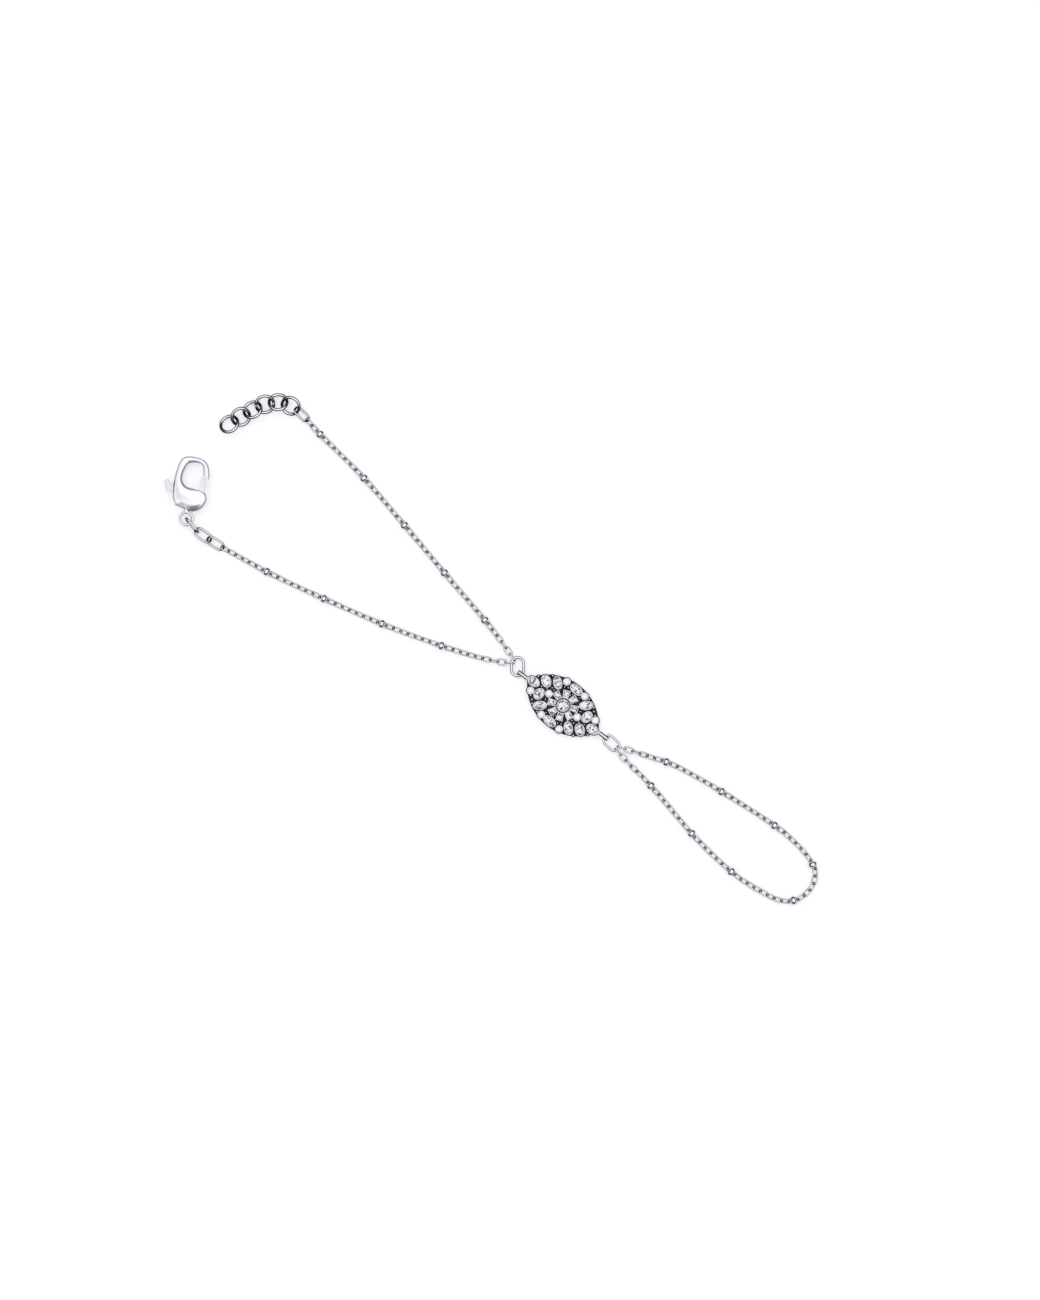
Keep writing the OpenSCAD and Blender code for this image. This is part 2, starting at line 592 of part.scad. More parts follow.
// Tapered step-cut stone: its outline drawn in by steps, above and below the girdle
module baguette(i) {
    edge = cup_wall + stone_gap;
    w = stone_size(BAGUETTE_W_IN);
    // Each step: how far the outline is drawn in, and its height
    steps = [
        [0.44, -girdle_thickness - pavilion_share * w],
        [0.24, -girdle_thickness - 0.65 * pavilion_share * w],
        [0, -girdle_thickness],
        [0, 0],
        [0.12, 0.6 * crown_share * w],
        [(1 - table_share) / 2, crown_share * w],
    ];
    color(CRYSTAL) at_baguette(i) translate([0, 0, cup_top - girdle_set])
        loft([for (s = steps) [for (q = taper(-edge - s[0] * w)) [q[0], q[1], s[1]]]]);
}

module wrist_ring() {
    color(SILVER) translate([wrist_centre[0], wrist_centre[1], ring_z]) rotate([0, 0, WRIST_TURN])
        oval_link(wrist_ring_length, wrist_ring_width, wrist_ring_wire);
}

module finger_ring() {
    color(SILVER) translate([finger_centre[0], finger_centre[1], ring_z]) rotate([0, 0, FINGER_TURN])
        oval_link(finger_ring_length, finger_ring_width, finger_ring_wire);
}

module upper_chain() {
    color(SILVER) chain(concat(UPPER_ROUTE, [wrist_joint(WRIST_UPPER_AT)]), UPPER_BEADS,
        extender_link_z, ring_z, 90 - EXTENDER_LINK_ROLL, 90);
}

module lower_chain() {
    color(SILVER) chain(concat(LOWER_ROUTE, [wrist_joint(WRIST_LOWER_AT)]), LOWER_BEADS,
        clasp_rests[0], ring_z, 90 - CLASP_LINK_ROLLS[0], 90);
}

module finger_chain() {
    route = concat([finger_joint(FINGER_CHAIN_AT)], FINGER_ROUTE, [finger_joint(-FINGER_CHAIN_AT)]);
    color(SILVER) chain(route, FINGER_BEADS, ring_z, ring_z, 90, 90);
}

// Point of the extender's route at a length along it, at a given height
function extender_at(run, z) = let (c = curve(EXTENDER_ROUTE))
    [lookup(run, run_table(c, 0)), lookup(run, run_table(c, 1)), z];

module extender_link() {
    color(SILVER) between(extender_at(0, extender_link_z), extender_at(extender_link_step, extender_z),
        EXTENDER_LINK_ROLL) oval_link(extender_link_length, extender_link_width, extender_link_wire);
}

module extender_ring(i) {
    near = extender_link_step + (i - 1) * extender_ring_step;
    color(SILVER) between(extender_at(near, extender_z), extender_at(near + extender_ring_step, extender_z),
        i % 2 == 0 ? extender_tilt : -extender_tilt)
        rotate_extrude() translate([extender_bend, 0]) circle(d = extender_ring_wire);
}

module clasp_link(i) {
    color(SILVER) between(clasp_joint(3 - i), clasp_joint(4 - i), CLASP_LINK_ROLLS[3 - i])
        oval_link(clasp_link_length, clasp_link_width, clasp_link_wire);
}

// Puts its children from the clasp's own frame, whose origin is the eye's centre, on the surface
module at_clasp() {
    translate([eye_centre[0], eye_centre[1], clasp_z]) rotate([0, 0, CLASP_TURN]) children();
}

// Area that an arm of the lever sweeps, with the lever's gap: from its clockwise edge when closed to its
// other edge when open
function swung(p) = pivot + turned(p - pivot, lever_turn);
function swept(clockwise, other) = let (a = atan2(clockwise[1] - pivot[1], clockwise[0] - pivot[0])) [
    pivot + (arm + lever_gap) * heading(a - 90),
    clockwise + 2 * lever_gap * heading(a - 90),
    swung(other + 2 * lever_gap * heading(a + 90)),
    swung(pivot + (arm + lever_gap) * heading(a + 90)),
];

module clasp_body() {
    rings = [for (s = curve(CLAW, CLAW_STEPS)) [for (i = [0:CLAW_SIDES - 1]) let (
            a = 360 * i / CLAW_SIDES,
            middle = [s[0] + s[2], s[1] + s[3]] / 2,
            half = [s[2] - s[0], s[3] - s[1]] / 2,
            p = clasp_unit * (middle + cos(a) * half)
        ) [p[0], p[1], min(1, s[4]) * clasp_thickness / 2 * sin(a)]]];
    slot = lever_thickness + 2 * lever_gap;
    eye_r = eye_d / 2;
    hole_r = eye_hole_d / 2;
    eye_edge = min(eye_thickness / 5, (eye_r - hole_r) / 3);
    color(SILVER) at_clasp() difference() {
        union() {
            loft(rings);
            rotate_extrude() polygon([
                [hole_r, -eye_thickness / 2 + eye_edge], [hole_r + eye_edge, -eye_thickness / 2],
                [eye_r - eye_edge, -eye_thickness / 2], [eye_r, -eye_thickness / 2 + eye_edge],
                [eye_r, eye_thickness / 2 - eye_edge], [eye_r - eye_edge, eye_thickness / 2],
                [hole_r + eye_edge, eye_thickness / 2], [hole_r, eye_thickness / 2 - eye_edge]
            ]);
            translate([0, (hole_r + eye_r) / 2, 0]) rotate([-90, 0, 0])
                cylinder(d = eye_thickness, h = eye_r);
        }
        translate([0, 0, -slot / 2]) linear_extrude(slot) polygon(swept(gate_tip[0], gate_tip[1]));
        translate([0, 0, -slot / 2]) linear_extrude(slot) polygon(swept(tab[0], tab[len(tab) - 1]));
        translate([pivot[0], pivot[1], -slot / 2]) cylinder(r = hub + lever_gap, h = slot);
        translate([pivot[0], pivot[1], -clasp_thickness]) cylinder(d = pin_d, h = clasp_thickness + pin_top);
    }
}

module clasp_lever() {
    color(SILVER) at_clasp() difference() {
        translate([0, 0, -lever_thickness / 2]) union() {
            translate([pivot[0], pivot[1], 0]) cylinder(r = hub, h = lever_thickness);
            linear_extrude(lever_thickness) polygon(arm_outline(gate_tip));
            linear_extrude(lever_thickness) polygon(arm_outline(tab));
        }
        translate([pivot[0], pivot[1], -clasp_thickness])
            cylinder(d = pin_d + 2 * pin_gap, h = 2 * clasp_thickness);
    }
}

module clasp_pin() {
    color(SILVER) at_clasp() translate([pivot[0], pivot[1], pin_bottom])
        cylinder(d = pin_d - 2 * PIN_FIT, h = pin_top - PIN_FIT - pin_bottom);
}

pendant_setting();
centre_stone();
for (i = [1:len(oval_cups)]) oval_stone(i);
for (i = [1:len(round_cups)]) round_stone(i);
for (i = [1:BAGUETTES]) baguette(i);
wrist_ring();
finger_ring();
upper_chain();
lower_chain();
finger_chain();
extender_link();
for (i = [1:extender_rings]) extender_ring(i);
for (i = [1:3]) clasp_link(i);
clasp_body();
clasp_lever();
clasp_pin();
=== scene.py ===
import math

import bmesh
import bpy
import numpy as np
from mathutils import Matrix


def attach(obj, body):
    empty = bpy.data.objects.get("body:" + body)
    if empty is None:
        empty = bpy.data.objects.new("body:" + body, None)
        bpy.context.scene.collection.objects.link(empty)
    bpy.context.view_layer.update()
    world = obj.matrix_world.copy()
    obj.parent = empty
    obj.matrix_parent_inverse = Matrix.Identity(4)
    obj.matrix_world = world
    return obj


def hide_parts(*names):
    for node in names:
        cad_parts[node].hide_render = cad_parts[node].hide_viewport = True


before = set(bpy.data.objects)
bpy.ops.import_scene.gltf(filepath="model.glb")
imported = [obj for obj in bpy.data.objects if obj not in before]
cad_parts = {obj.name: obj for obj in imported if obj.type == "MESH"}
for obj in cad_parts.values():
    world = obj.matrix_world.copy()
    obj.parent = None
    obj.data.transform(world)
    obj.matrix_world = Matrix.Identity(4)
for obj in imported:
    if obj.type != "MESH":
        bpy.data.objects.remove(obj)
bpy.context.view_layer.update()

# The two wrist chains and the finger chain: oval links of round drawn wire, closed and soldered, with a
# rondelle bead fixed on every eighth link. They are brass, plated with rhodium and tumbled bright. Each link
# is laid where the solid link of the model lies.
LINK_WIRE = 0.00038
LINK_WIDTH = 0.00175
BEAD_LENGTH = 0.00105
BEAD_WIDTH = 0.0020
# Steps along each bend of a link and sides round its wire, and steps along a bead and sides round it
LINK_STEPS = (7, 8)
BEAD_STEPS = (11, 20)
# Least value under the root in a bead's profile, which leaves its ends flat for a seventh of its width
BEAD_END = 0.0004
# Corners of the model's triangles that are closer than this are one corner
SAME_CORNER = 1e-7
PLATE_WHITE = (0.95, 0.955, 0.975)
PLATE_SHADE = (0.84, 0.85, 0.89)
PLATE_RELIEF = 0.00001


def add_node(tree, kind, **settings):
    """A shader node with its settings and the values of its inputs, which are named by their sockets."""
    node = tree.nodes.new(kind)
    for name, value in settings.items():
        if name in node.inputs:
            node.inputs[name].default_value = value
        else:
            setattr(node, name, value)
    return node


def ramp(tree, source, stops):
    """Colour ramp on a source socket, from stops of (place, colour)."""
    node = tree.nodes.new("ShaderNodeValToRGB")
    while len(node.color_ramp.elements) < len(stops):
        node.color_ramp.elements.new(0.5)
    for element, (place, colour) in zip(node.color_ramp.elements, stops):
        element.position = place
        element.color = (*colour, 1)
    tree.links.new(source, node.inputs[0])
    return node.outputs[0]


def grey(level):
    return (level, level, level)


def step(tree, source, low, high, falling=False):
    """Smooth step of a value from 0 to 1 between low and high, or from 1 to 0 if falling."""
    node = add_node(tree, "ShaderNodeMapRange", interpolation_type="SMOOTHSTEP")
    node.inputs["From Min"].default_value = low
    node.inputs["From Max"].default_value = high
    node.inputs["To Min"].default_value = 1.0 if falling else 0.0
    node.inputs["To Max"].default_value = 0.0 if falling else 1.0
    tree.links.new(source, node.inputs["Value"])
    return node.outputs["Result"]


def combine(tree, how, a, b):
    """One value from two: their product for MULTIPLY, the larger of them for MAXIMUM."""
    node = add_node(tree, "ShaderNodeMath", operation=how)
    tree.links.new(a, node.inputs[0])
    tree.links.new(b, node.inputs[1])
    return node.outputs[0]


def bright_plate_with_painted_reflection(name, white=PLATE_WHITE, shade=PLATE_SHADE, rough=(0.07, 0.2), drift=900,
                        grain=6000, edge=(0.2, 0.4), painted_reflection_tone=(0.06, 0.063, 0.085)):
    """Bright rhodium plate. Its colour drifts from shade to white over patches of the scale drift, and its
    roughness over hair-fine polishing marks of the scale grain, which also tilt its surface a little. Where a
    steep part of it turns away from the line of sight, a dark reflection of a room is painted into its
    colour:
    the colour goes to the painted reflection tone over the span edge of one minus the cosine of the angle,
    both from the line of sight and from straight up."""
    material = bpy.data.materials.new(name)
    material.use_nodes = True
    tree = material.node_tree
    shader = tree.nodes["Principled BSDF"]
    shader.inputs["Metallic"].default_value = 1.0
    place = add_node(tree, "ShaderNodeTexCoord").outputs["Object"]
    wide = add_node(tree, "ShaderNodeTexNoise", Scale=float(drift), Detail=3.0)
    fine = add_node(tree, "ShaderNodeTexNoise", Scale=float(grain), Detail=2.0)
    for noise in (wide, fine):
        tree.links.new(place, noise.inputs["Vector"])
    toned = add_node(tree, "ShaderNodeMix", data_type="RGBA")
    # Painted reflection: the colour is painted dark where a steep part turns away from the line of sight
    painted_reflection_mask = step(tree, add_node(tree, "ShaderNodeLayerWeight", Blend=0.5).outputs["Facing"], *edge)
    normal = add_node(tree, "ShaderNodeSeparateXYZ")
    tree.links.new(add_node(tree, "ShaderNodeNewGeometry").outputs["Normal"], normal.inputs[0])
    steep = step(tree, normal.outputs["Z"], 1 - edge[1], 1 - edge[0], falling=True)
    tree.links.new(combine(tree, "MULTIPLY", painted_reflection_mask, steep), toned.inputs["Factor"])
    tree.links.new(ramp(tree, wide.outputs["Fac"], [(0.3, shade), (0.62, white)]), toned.inputs["A"])
    toned.inputs["B"].default_value = (*painted_reflection_tone, 1)
    tree.links.new(toned.outputs["Result"], shader.inputs["Base Color"])
    tree.links.new(ramp(tree, fine.outputs["Fac"], [(0.3, grey(rough[0])), (0.7, grey(rough[1]))]),
                   shader.inputs["Roughness"])
    bump = add_node(tree, "ShaderNodeBump", Strength=0.08, Distance=PLATE_RELIEF)
    tree.links.new(fine.outputs["Fac"], bump.inputs["Height"])
    tree.links.new(bump.outputs["Normal"], shader.inputs["Normal"])
    return material


def new_piece(name, points, faces, material):
    """A smooth piece of the bracelet from its points and faces, in its place in the frame."""
    mesh = bpy.data.meshes.new(name)
    mesh.from_pydata(points, [], faces)
    mesh.materials.append(material)
    mesh.polygons.foreach_set("use_smooth", np.ones(len(mesh.polygons), bool))
    mesh.update()
    piece = bpy.data.objects.new(name, mesh)
    bpy.context.scene.collection.objects.link(piece)
    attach(piece, "bracelet")
    return piece


def grid_faces(rows, columns, close_rows=True):
    """Quads between the points of a grid that closes on itself across its columns, and along its rows too
    unless close_rows is false."""
    r = np.arange(rows if close_rows else rows - 1)[:, None]
    c = np.arange(columns)[None, :]
    r_next, c_next = (r + 1) % rows, (c + 1) % columns
    corners = [r * columns + c, r_next * columns + c, r_next * columns + c_next, r * columns + c_next]
    return np.stack(np.broadcast_arrays(*corners), axis=-1).reshape(-1, 4)


def link_surface(length, width, wire, bend_steps, sides):
    """Oval link along X: a circle of the wire's width carried round a path of two half circles joined by two
    straights. A point is the path's point plus the wire's radius times (out cos v, sin v)."""
    turn = np.radians(np.linspace(-90, 90, bend_steps + 1))
    turn = np.concatenate([turn, turn + math.pi])
    end = np.repeat([1.0, -1.0], bend_steps + 1)
    bend, straight = (width - wire) / 2, (length - width) / 2
    out = np.stack([np.cos(turn), np.sin(turn), np.zeros_like(turn)], axis=-1)
    path = bend * out
    path[:, 0] += end * straight
    v = 2 * math.pi * np.arange(sides) / sides
    ring = out[:, None] * np.cos(v)[:, None] + np.array([0, 0, 1]) * np.sin(v)[:, None]
    points = path[:, None] + wire / 2 * ring
    return points.reshape(-1, 3), [grid_faces(len(turn), sides)]


def bead_surface(length, width, steps, sides):
    """Rondelle bead along X: a profile turned about X. Its radius is half the bead's width times the fourth
    root of 1 - (2 x / length)^4, or of BEAD_END where that is more, and a flat face closes each end."""
    x = length / 2 * np.sin(math.pi / 2 * np.linspace(-1, 1, steps))
    r = width / 2 * np.clip(1 - np.abs(2 * x / length) ** 4, BEAD_END, 1) ** 0.25
    v = 2 * math.pi * np.arange(sides) / sides
    profile = [x[:, None], r[:, None] * np.sin(v), r[:, None] * np.cos(v)]
    points = np.stack(np.broadcast_arrays(*profile), axis=-1)
    around = np.arange(sides)
    ends = np.stack([around[::-1], (steps - 1) * sides + around])
    return points.reshape(-1, 3), [grid_faces(steps, sides, close_rows=False), ends]


def solid_places(node):
    """Centre, axes and size of each loose solid of a node. Triangles that share a corner get the lowest label
    among them until nothing changes, and then each label is a solid. Its axes are the principal axes of its
    surface, longest first, and its centre and size are those of its box along them."""
    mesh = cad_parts[node].data
    corners = np.empty(len(mesh.vertices) * 3, np.float32)
    mesh.vertices.foreach_get("co", corners)
    used = np.empty(len(mesh.loops), np.int32)
    mesh.loops.foreach_get("vertex_index", used)
    corners = corners.reshape(-1, 3).astype(float)[used]
    places, ids = np.unique(np.round(corners / SAME_CORNER).astype(np.int64), axis=0, return_inverse=True)
    triangles = ids.reshape(-1, 3)
    label = np.arange(len(places))
    while True:
        before = label.copy()
        np.minimum.at(label, triangles.ravel(), np.repeat(label[triangles].min(axis=1), 3))
        label = label[label]
        if (label == before).all():
            break
    labels, part = np.unique(label[triangles[:, 0]], return_inverse=True)
    corners = corners.reshape(-1, 3, 3)
    sides = [corners[:, 1] - corners[:, 0], corners[:, 2] - corners[:, 0]]
    area = np.linalg.norm(np.cross(*sides), axis=1)
    solids = []
    for k in range(len(labels)):
        mine = corners[part == k]
        weight = area[part == k] / area[part == k].sum()
        middle = (mine.mean(axis=1) * weight[:, None]).sum(axis=0)
        spread = mine.mean(axis=1) - middle
        axes = np.linalg.eigh((spread * weight[:, None]).T @ spread)[1][:, ::-1].T
        axes[2] = np.cross(axes[0], axes[1])
        seen = (mine.reshape(-1, 3) - middle) @ axes.T
        low, high = seen.min(axis=0), seen.max(axis=0)
        solids.append((middle + (low + high) / 2 @ axes, axes, high - low))
    return solids


def chain_piece(name, node, material):
    """A chain of smooth links in the places of a node's solids, with a bead where a solid is thick enough."""
    points, faces, count = [], [], 0
    for centre, axes, size in solid_places(node):
        shapes = [link_surface(size[0], LINK_WIDTH, LINK_WIRE, *LINK_STEPS)]
        if size[2] > 2 * LINK_WIRE:
            shapes.append(bead_surface(BEAD_LENGTH, BEAD_WIDTH, *BEAD_STEPS))
        for shape, face_groups in shapes:
            points.append(shape @ axes + centre)
            for group in face_groups:
                faces += (group + count).tolist()
            count += len(shape)
    piece = new_piece(name, np.concatenate(points).tolist(), faces, material)
    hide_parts(node)


chain_metal = bright_plate_with_painted_reflection("bright_plated_chain", rough=(0.03, 0.1), edge=(0.05, 0.17))
for chain in ("upper_chain", "lower_chain", "finger_chain"):
    chain_piece(chain.replace("chain", "chain_links"), chain, chain_metal)

# The jump rings, the oval links beside the clasp and the extender's rings: thicker round wire bent and
# closed, plated bright like the chains. The extender's rings are of the thickest wire.
RING_WIRES = {"wrist_ring": 0.0007, "finger_ring": 0.00055, "extender_link": 0.00055}
RING_WIRES.update({f"clasp_link_{i}": 0.0006 for i in (1, 2, 3)})
RING_WIRES.update({f"extender_ring_{i}": 0.0008 for i in range(1, 7)})
# Steps along each bend of a ring and sides round its wire
RING_STEPS = (24, 16)

# Both ring metals carry a painted dark reflection on their steep sides; the extender's is darker and narrower
ring_metal = bright_plate_with_painted_reflection("bright_plated_rings", rough=(0.03, 0.1), grain=4000, edge=(0.05, 0.16))
extender_metal = bright_plate_with_painted_reflection("bright_plated_extender", rough=(0.03, 0.1), grain=4000,
                                     edge=(0.03, 0.11), painted_reflection_tone=(0.03, 0.032, 0.05))
for ring, wire in RING_WIRES.items():
    centre, axes, size = solid_places(ring)[0]
    shape, face_groups = link_surface(size[0], size[1], wire, *RING_STEPS)
    metal = extender_metal if "extender" in ring else ring_metal
    points, faces = (shape @ axes + centre).tolist(), face_groups[0].tolist()
    piece = new_piece(ring + "_wire", points, faces, metal)
    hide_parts(ring)

# The pendant's setting: one brass casting, plated and then oxidised dark in its recesses. The tops of its
# cups and grains and the middle of its bails are polished bright again, and its back and the floors of its
# cups stay bright.
PENDANT_LENGTH = 0.0222
UNIT = PENDANT_LENGTH / 100
PLATE_TOP = 0.0009
CUP_TOP = 0.00165
CUP_WALL = 0.00015
# The cups of one half of the pendant, which the other half repeats turned by 180 degrees, in hundredths of
# its length: x, y, turn in degrees, length and width of the ovals, then x, y and width of the rounds
OVALS = np.array([
    [-42.5, 1.6, 0, 14.9, 10.8],
    [-31.6, 10.5, -33, 14.9, 11.0],
    [-20.1, 16.8, -43, 15.5, 10.2],
    [1.3, 23.2, -5, 16.7, 10.2],
    [20.8, 15.6, 41, 16.2, 10.4],
    [29.4, 5.8, 86, 14.4, 11.0],
])
ROUNDS = np.array([[-12.5, 23.9, 8.6], [13.4, 22.9, 8.6], [39.2, 8.5, 8.6], [-20.6, 1.0, 8.6]])
# Width of the middle cup, then a tapered cup's inner and outer distance and its inner and outer width
CENTRE_CUP = 14.4
TAPER = np.array([7.7, 17.5, 5.9, 8.3])
TAPER_TURNS = [21 + 45 * i for i in range(8)]
# Faces higher than this over the flat back may be the floor of a cup
BACK_SKIN = 0.0001
# Heights over the plate between which the polish takes over from the oxide
POLISH_START = (0.00006, 0.00016)
# Inner and outer radius of a ring round the middle cup where even the raised tops are left dark, and half the
# width of its soft sides
DARK_RING = (0.00155, 0.0019)
DARK_RING_SOFT = 0.00002
# Where the bails start along the pendant, half the width of that soft line, the distances from a bail's
# middle line between which its polish ends, and the strength of that polish
BAIL_START = 0.0113
BAIL_SOFT = 0.0001
BAIL_SIDES = (0.0001, 0.0003)
BAIL_POLISH = 0.85
OXIDE_DARK = (0.012, 0.012, 0.02)
OXIDE_PALE = (0.06, 0.06, 0.085)
OXIDE_RELIEF = 0.00002


def turned(points, degrees):
    """Flat points turned about the pendant's middle: (x cos a - y sin a, x sin a + y cos a)."""
    a = math.radians(degrees)
    return points @ np.array([[math.cos(a), math.sin(a)], [-math.sin(a), math.cos(a)]])


def in_pockets(points):
    """Whether flat points lie inside a cup's wall: (x / a)^2 + (y / b)^2 < 1 for the oval and round cups, and
    between the four sides of a tapered cup."""
    inside = np.zeros(len(points), bool)
    rounds = [(x, y, 0, width, width) for x, y, width in ROUNDS] + [(0, 0, 0, CENTRE_CUP, CENTRE_CUP)]
    for x, y, turn, length, width in [*OVALS, *rounds]:
        for half in (1, -1):
            seen = turned(points - half * np.array([x, y]) * UNIT, -turn)
            inside |= ((seen * 2 / (np.array([length, width]) * UNIT - CUP_WALL)) ** 2).sum(axis=1) < 1
    x0, x1, w0, w1 = TAPER * UNIT
    for turn in TAPER_TURNS:
        seen = turned(points, -turn)
        half_width = (w0 + (w1 - w0) * (seen[:, 0] - x0) / (x1 - x0)) / 2 - CUP_WALL / 2
        inside |= (seen[:, 0] > x0 + CUP_WALL) & (seen[:, 0] < x1) & (np.abs(seen[:, 1]) < half_width)
    return inside


def size_of(tree, source):
    """A value without its sign."""
    node = add_node(tree, "ShaderNodeMath", operation="ABSOLUTE")
    tree.links.new(source, node.inputs[0])
    return node.outputs[0]


def flat_distance(tree, place):
    """Distance of a point from the pendant's middle, seen from above: the length of (x, y, 0)."""
    flat = add_node(tree, "ShaderNodeVectorMath", operation="MULTIPLY")
    flat.inputs[1].default_value = (1, 1, 0)
    tree.links.new(place, flat.inputs[0])
    length = add_node(tree, "ShaderNodeVectorMath", operation="LENGTH")
    tree.links.new(flat.outputs["Vector"], length.inputs[0])
    return length.outputs["Value"]


def polished_parts(tree, place):
    """1 where the setting is polished bright and 0 where its oxide stays: the largest of four masks. They are
    the upward tops over the plate outside the dark ring round the middle cup and the bails, the bails'
    middle, the back, and the upward floors of the cups, which the attribute pocket marks."""
    parts = add_node(tree, "ShaderNodeSeparateXYZ")
    tree.links.new(place, parts.inputs[0])
    facing = add_node(tree, "ShaderNodeSeparateXYZ")
    tree.links.new(add_node(tree, "ShaderNodeNewGeometry").outputs["Normal"], facing.inputs[0])
    along, aside = size_of(tree, parts.outputs["X"]), size_of(tree, parts.outputs["Y"])
    distance = flat_distance(tree, place)
    raised = step(tree, parts.outputs["Z"], PLATE_TOP + POLISH_START[0], PLATE_TOP + POLISH_START[1])
    upward = step(tree, facing.outputs["Z"], 0.3, 0.75)
    # The ring round the middle cup keeps even its raised tops dark
    within = step(tree, distance, DARK_RING[0] - DARK_RING_SOFT, DARK_RING[0] + DARK_RING_SOFT, falling=True)
    beyond = step(tree, distance, DARK_RING[1] - DARK_RING_SOFT, DARK_RING[1] + DARK_RING_SOFT)
    tops = combine(tree, "MULTIPLY", raised, combine(tree, "MAXIMUM", within, beyond))
    tops = combine(tree, "MULTIPLY", tops, upward)
    before_bails = step(tree, along, BAIL_START - BAIL_SOFT, BAIL_START + BAIL_SOFT, falling=True)
    tops = combine(tree, "MULTIPLY", tops, before_bails)
    worn = add_node(tree, "ShaderNodeMath", operation="MULTIPLY")
    tree.links.new(step(tree, aside, *BAIL_SIDES, falling=True), worn.inputs[0])
    worn.inputs[1].default_value = BAIL_POLISH
    on_bails = step(tree, along, BAIL_START - BAIL_SOFT, BAIL_START + BAIL_SOFT)
    bails = combine(tree, "MULTIPLY", on_bails, worn.outputs[0])
    back = step(tree, facing.outputs["Z"], -0.9, -0.6, falling=True)
    marked = add_node(tree, "ShaderNodeAttribute", attribute_name="pocket").outputs["Fac"]
    floors = combine(tree, "MULTIPLY", upward, marked)
    over, under = combine(tree, "MAXIMUM", tops, bails), combine(tree, "MAXIMUM", back, floors)
    return combine(tree, "MAXIMUM", over, under)


def oxidised_finish(name):
    """Patchy dark oxide, matt and slightly rough to the touch, with bright plate where it is polished."""
    material = bpy.data.materials.new(name)
    material.use_nodes = True
    tree = material.node_tree
    shader = tree.nodes["Principled BSDF"]
    shader.inputs["Metallic"].default_value = 1.0
    place = add_node(tree, "ShaderNodeTexCoord").outputs["Object"]
    polished = polished_parts(tree, place)
    patches = add_node(tree, "ShaderNodeTexNoise", Scale=1400.0, Detail=4.0)
    tree.links.new(place, patches.inputs["Vector"])
    oxide = ramp(tree, patches.outputs["Fac"], [(0.35, OXIDE_DARK), (0.7, OXIDE_PALE)])
    toned = add_node(tree, "ShaderNodeMix", data_type="RGBA")
    tree.links.new(polished, toned.inputs["Factor"])
    tree.links.new(oxide, toned.inputs["A"])
    toned.inputs["B"].default_value = (*PLATE_WHITE, 1)
    tree.links.new(toned.outputs["Result"], shader.inputs["Base Color"])
    tree.links.new(ramp(tree, polished, [(0.0, grey(0.5)), (1.0, grey(0.14))]), shader.inputs["Roughness"])
    relief = add_node(tree, "ShaderNodeBump", Strength=0.25, Distance=OXIDE_RELIEF)
    tree.links.new(patches.outputs["Fac"], relief.inputs["Height"])
    tree.links.new(relief.outputs["Normal"], shader.inputs["Normal"])
    return material


def smooth_copy(name, node, material, sharp, body="bracelet"):
    """A merged copy of a node's mesh, shaded smooth but for edges turned by more than sharp, in degrees."""
    piece = bpy.data.objects.new(name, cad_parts[node].data.copy())
    bpy.context.scene.collection.objects.link(piece)
    work = bmesh.new()
    work.from_mesh(piece.data)
    bmesh.ops.remove_doubles(work, verts=work.verts, dist=SAME_CORNER)
    for face in work.faces:
        face.smooth = True
    for edge in work.edges:
        edge.smooth = len(edge.link_faces) == 2 and edge.calc_face_angle() < math.radians(sharp)
    work.to_mesh(piece.data)
    work.free()
    piece.data.materials.clear()
    piece.data.materials.append(material)
    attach(piece, body)
    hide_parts(node)
    return piece


setting_metal = oxidised_finish("oxidised_setting")
setting = smooth_copy("setting_metal", "pendant_setting", setting_metal, 38)
middles = np.empty(len(setting.data.polygons) * 3)
setting.data.polygons.foreach_get("center", middles)
middles = middles.reshape(-1, 3)
floors = in_pockets(middles[:, :2]) & (middles[:, 2] > BACK_SKIN)
mask = setting.data.attributes.new("pocket", "FLOAT", "FACE")
mask.data.foreach_set("value", floors.astype(np.float32))

# The rims of the stone cups: the thin wall of each cup burnished over its stone and polished, so that it
# frames the stone with a bright, gently rounded line.
RIM = 0.00007
RIM_RISE = 0.00004
RIM_SIDES = 10
# Points along the rim of an oval cup, a round one and the middle one, and along a side of a tapered one
OVAL_STEPS = 36
ROUND_STEPS = 28
CENTRE_STEPS = 40
TAPER_STEPS = 6
# The share of a tapered rim's side that rounds off each of its corners, and how far, in half walls, the rim
# is moved at its inner and outer end and drawn in at its inner and outer width
TAPER_CORNER = 0.08
TAPER_DRAW = np.array([2.8, -1, -2, -2])
# How much narrower the middle rim is than its cup, in hundredths of the pendant, and how much it stands up
CENTRE_DRAW = 0.3
CENTRE_RISE = 0.00045


def rim_surface(path, height):
    """A closed band on a flat closed path: each point of the path plus outward RIM cos v and upward RIM_RISE
    sin v."""
    ahead = np.roll(path, -1, axis=0) - np.roll(path, 1, axis=0)
    out = np.stack([ahead[:, 1], -ahead[:, 0]], axis=-1)
    out /= np.linalg.norm(out, axis=1)[:, None]
    v = 2 * math.pi * np.arange(RIM_SIDES) / RIM_SIDES
    flat = path[:, None] + RIM * out[:, None] * np.cos(v)[:, None]
    z = np.broadcast_to(height + RIM_RISE * np.sin(v), flat.shape[:2])
    return np.concatenate([flat, z[..., None]], axis=-1).reshape(-1, 3), grid_faces(len(path), RIM_SIDES)


def oval_path(x, y, turn, length, width, steps):
    """Ellipse along the middle of a cup's wall, (a cos t, b sin t), turned and moved to its place."""
    t = 2 * math.pi * np.arange(steps) / steps
    a, b = (length * UNIT - CUP_WALL) / 2, (width * UNIT - CUP_WALL) / 2
    return turned(np.stack([a * np.cos(t), b * np.sin(t)], axis=-1), turn) + np.array([x, y]) * UNIT


